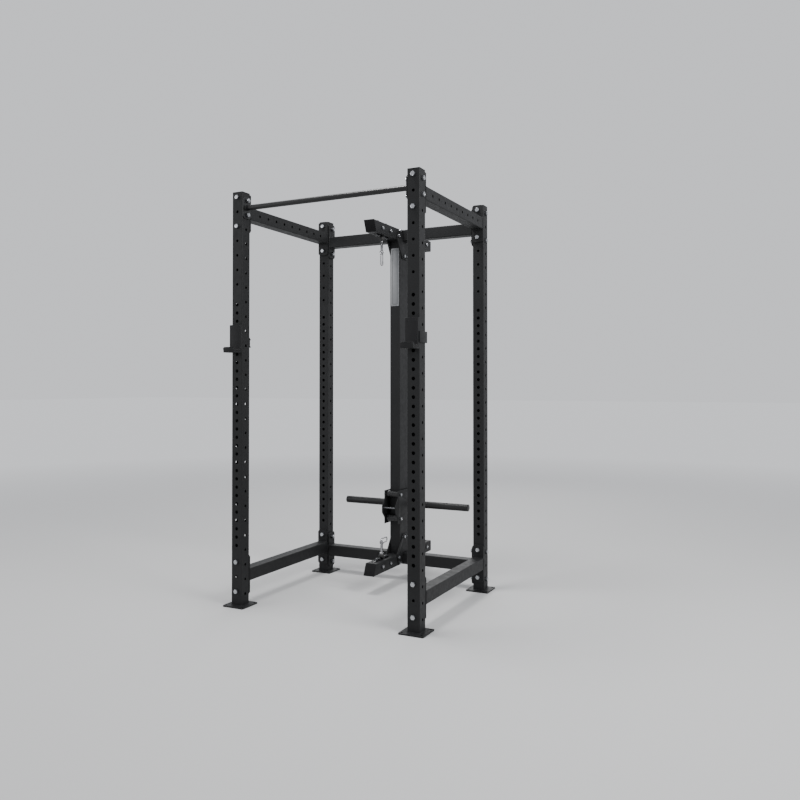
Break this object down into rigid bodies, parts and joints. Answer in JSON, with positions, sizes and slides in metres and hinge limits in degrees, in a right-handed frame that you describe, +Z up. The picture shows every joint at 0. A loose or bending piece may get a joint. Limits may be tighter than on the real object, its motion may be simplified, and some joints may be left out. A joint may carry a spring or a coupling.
{
  "type": "power cage",
  "caption": "Four post power cage of square tube with a rear plate loaded cable tower, a pull up bar, two bar holders, and high and low pulls.",
  "frame": {"origin": "on the floor, under the middle of the whole object's box", "axes": "+X to the right as seen from the front, +Y to the back, +Z up"},
  "size_m": [1.328, 1.5438, 2.5],
  "materials": {
    "powder_coat": "matte black powder coat with a fine texture",
    "zinc_plate": "bright zinc plate",
    "polished_steel": "polished",
    "label_aluminium": "satin silver grey",
    "black_plastic": "moulded, slightly grained",
    "pulley_nylon": "moulded glass filled nylon",
    "cable_jacket": "smooth extruded jacket",
    "cup_liner": "machined polyethylene"
  },
  "bodies": {
    "frame": {"upright_front_left": "powder_coat", "upright_front_right": "powder_coat", "upright_rear_left": "powder_coat", "upright_rear_right": "powder_coat", "upright_caps": "black_plastic", "side_beam_upper_left": "powder_coat", "side_beam_upper_right": "powder_coat", "side_beam_lower_left": "powder_coat", "side_beam_lower_right": "powder_coat", "rear_beam_upper": "powder_coat", "rear_beam_lower": "powder_coat", "pull_up_bar": "powder_coat", "frame_bolts": "zinc_plate", "frame_nuts": "zinc_plate", "tower_column": "powder_coat", "label_plate": "label_aluminium", "upper_arm_front": "powder_coat", "upper_arm_rear": "powder_coat", "lower_arm_front": "powder_coat", "lower_arm_rear": "powder_coat", "upper_saddle_plates": "powder_coat", "lower_saddle_plates": "powder_coat", "tower_bolts": "zinc_plate", "tower_nuts": "zinc_plate", "arm_end_caps": "black_plastic", "pulley_axles": "zinc_plate", "pulley_spacers": "zinc_plate", "cable_fixed": "cable_jacket", "cable_trolley_runs": "cable_jacket", "cable_pull": "cable_jacket", "low_cable_end": "polished_steel"},
    "trolley": {"trolley_plate_left": "powder_coat", "trolley_plate_right": "powder_coat", "weight_horn": "powder_coat", "trolley_axles": "zinc_plate", "trolley_spacers": "zinc_plate", "cable_trolley_loop": "cable_jacket"},
    "high_end": {"high_cable_end": "polished_steel"},
    "upper_nose_wheel": {"upper_nose_pulley": "pulley_nylon"},
    "upper_front_wheel": {"upper_front_pulley": "pulley_nylon"},
    "upper_middle_wheel": {"upper_middle_pulley": "pulley_nylon"},
    "upper_return_wheel": {"upper_return_pulley": "pulley_nylon"},
    "upper_rear_wheel": {"upper_rear_pulley": "pulley_nylon"},
    "lower_rear_wheel": {"lower_rear_pulley": "pulley_nylon"},
    "lower_front_wheel": {"lower_front_pulley": "pulley_nylon"},
    "lower_nose_wheel": {"lower_nose_pulley": "pulley_nylon"},
    "trolley_wheel": {"trolley_pulley": "pulley_nylon"},
    "roller_front_upper": {"roller_front_upper": "black_plastic"},
    "roller_rear_upper": {"roller_rear_upper": "black_plastic"},
    "roller_front_lower": {"roller_front_lower": "black_plastic"},
    "roller_rear_lower": {"roller_rear_lower": "black_plastic"},
    "high_hook": {"high_hook": "polished_steel"},
    "high_gate": {"high_hook_gate": "polished_steel"},
    "low_hook": {"low_hook": "polished_steel"},
    "low_gate": {"low_hook_gate": "polished_steel"},
    "jcup_left": {"jcup_left_bracket": "powder_coat", "jcup_left_liner": "cup_liner"},
    "jcup_right": {"jcup_right_bracket": "powder_coat", "jcup_right_liner": "cup_liner"}
  },
  "joints": [
    {"name": "trolley_lift", "type": "slide", "parent": "frame", "child": "trolley", "axis": [0, 0, 1], "range_m": [0, 0.85], "deforming": ["cable_trolley_runs"]},
    {"name": "high_pull", "type": "slide", "parent": "frame", "child": "high_end", "axis": [0, 0, -1], "range_m": [0, 1.7], "deforming": ["cable_pull"]},
    {"name": "upper_nose_spin", "type": "hinge", "parent": "frame", "child": "upper_nose_wheel", "pos_m": [0, 0.00575, 2.35], "axis": [1, 0, 0], "continuous": true},
    {"name": "upper_front_spin", "type": "hinge", "parent": "frame", "child": "upper_front_wheel", "pos_m": [0, 0.11775, 2.35], "axis": [1, 0, 0], "continuous": true},
    {"name": "upper_middle_spin", "type": "hinge", "parent": "frame", "child": "upper_middle_wheel", "pos_m": [0, 0.40975, 2.365], "axis": [1, 0, 0], "continuous": true},
    {"name": "upper_return_spin", "type": "hinge", "parent": "frame", "child": "upper_return_wheel", "pos_m": [0, 0.54975, 2.365], "axis": [1, 0, 0], "continuous": true},
    {"name": "upper_rear_spin", "type": "hinge", "parent": "frame", "child": "upper_rear_wheel", "pos_m": [0, 0.69075, 2.35], "axis": [1, 0, 0], "continuous": true},
    {"name": "lower_rear_spin", "type": "hinge", "parent": "frame", "child": "lower_rear_wheel", "pos_m": [0, 0.69075, 0.16], "axis": [1, 0, 0], "continuous": true},
    {"name": "lower_front_spin", "type": "hinge", "parent": "frame", "child": "lower_front_wheel", "pos_m": [0, 0.11775, 0.16], "axis": [1, 0, 0], "continuous": true},
    {"name": "lower_nose_spin", "type": "hinge", "parent": "frame", "child": "lower_nose_wheel", "pos_m": [0, 0.00575, 0.16], "axis": [1, 0, 0], "continuous": true},
    {"name": "trolley_wheel_spin", "type": "hinge", "parent": "trolley", "child": "trolley_wheel", "pos_m": [0, 0.47975, 0.64], "axis": [1, 0, 0], "continuous": true},
    {"name": "roller_front_upper_spin", "type": "hinge", "parent": "trolley", "child": "roller_front_upper", "pos_m": [0, 0.23845, 0.594], "axis": [1, 0, 0], "continuous": true},
    {"name": "roller_rear_upper_spin", "type": "hinge", "parent": "trolley", "child": "roller_rear_upper", "pos_m": [0, 0.42305, 0.594], "axis": [1, 0, 0], "continuous": true},
    {"name": "roller_front_lower_spin", "type": "hinge", "parent": "trolley", "child": "roller_front_lower", "pos_m": [0, 0.23845, 0.434], "axis": [1, 0, 0], "continuous": true},
    {"name": "roller_rear_lower_spin", "type": "hinge", "parent": "trolley", "child": "roller_rear_lower", "pos_m": [0, 0.42305, 0.434], "axis": [1, 0, 0], "continuous": true},
    {"name": "high_hook_swing", "type": "hinge", "parent": "high_end", "child": "high_hook", "pos_m": [0, 0.06775, 2.193], "axis": [1, 0, 0], "range_deg": [-90, 90]},
    {"name": "high_gate_open", "type": "hinge", "parent": "high_hook", "child": "high_gate", "pos_m": [0, 0.08175, 2.1405], "axis": [1, 0, 0], "range_deg": [0, 24], "stiffness_Nm_per_rad": 0.02, "springref_deg": -11.46},
    {"name": "low_hook_swing", "type": "hinge", "parent": "frame", "child": "low_hook", "pos_m": [0, 0.06775, 0.311], "axis": [1, 0, 0], "range_deg": [0, 180]},
    {"name": "low_gate_open", "type": "hinge", "parent": "low_hook", "child": "low_gate", "pos_m": [0, 0.12025, 0.325], "axis": [1, 0, 0], "range_deg": [0, 24], "stiffness_Nm_per_rad": 0.02, "springref_deg": -11.46},
    {"name": "jcup_left_turn", "type": "hinge", "parent": "frame", "child": "jcup_left", "pos_m": [-0.589, -0.68675, 1.666], "axis": [0, 1, 0], "range_deg": [0, 90]},
    {"name": "jcup_right_turn", "type": "hinge", "parent": "frame", "child": "jcup_right", "pos_m": [0.589, -0.68675, 1.666], "axis": [0, -1, 0], "range_deg": [0, 90]}
  ],
  "couplings": [
    {"joint": "high_pull", "follows": "trolley_lift", "ratio": 2},
    {"joint": "upper_front_spin", "follows": "trolley_lift", "rad_per_m": 40},
    {"joint": "upper_middle_spin", "follows": "trolley_lift", "rad_per_m": 57.143},
    {"joint": "trolley_wheel_spin", "follows": "trolley_lift", "rad_per_m": -28.571},
    {"joint": "roller_front_upper_spin", "follows": "trolley_lift", "rad_per_m": -45.455},
    {"joint": "roller_rear_upper_spin", "follows": "trolley_lift", "rad_per_m": 45.455},
    {"joint": "roller_front_lower_spin", "follows": "trolley_lift", "rad_per_m": -45.455},
    {"joint": "roller_rear_lower_spin", "follows": "trolley_lift", "rad_per_m": 45.455}
  ]
}
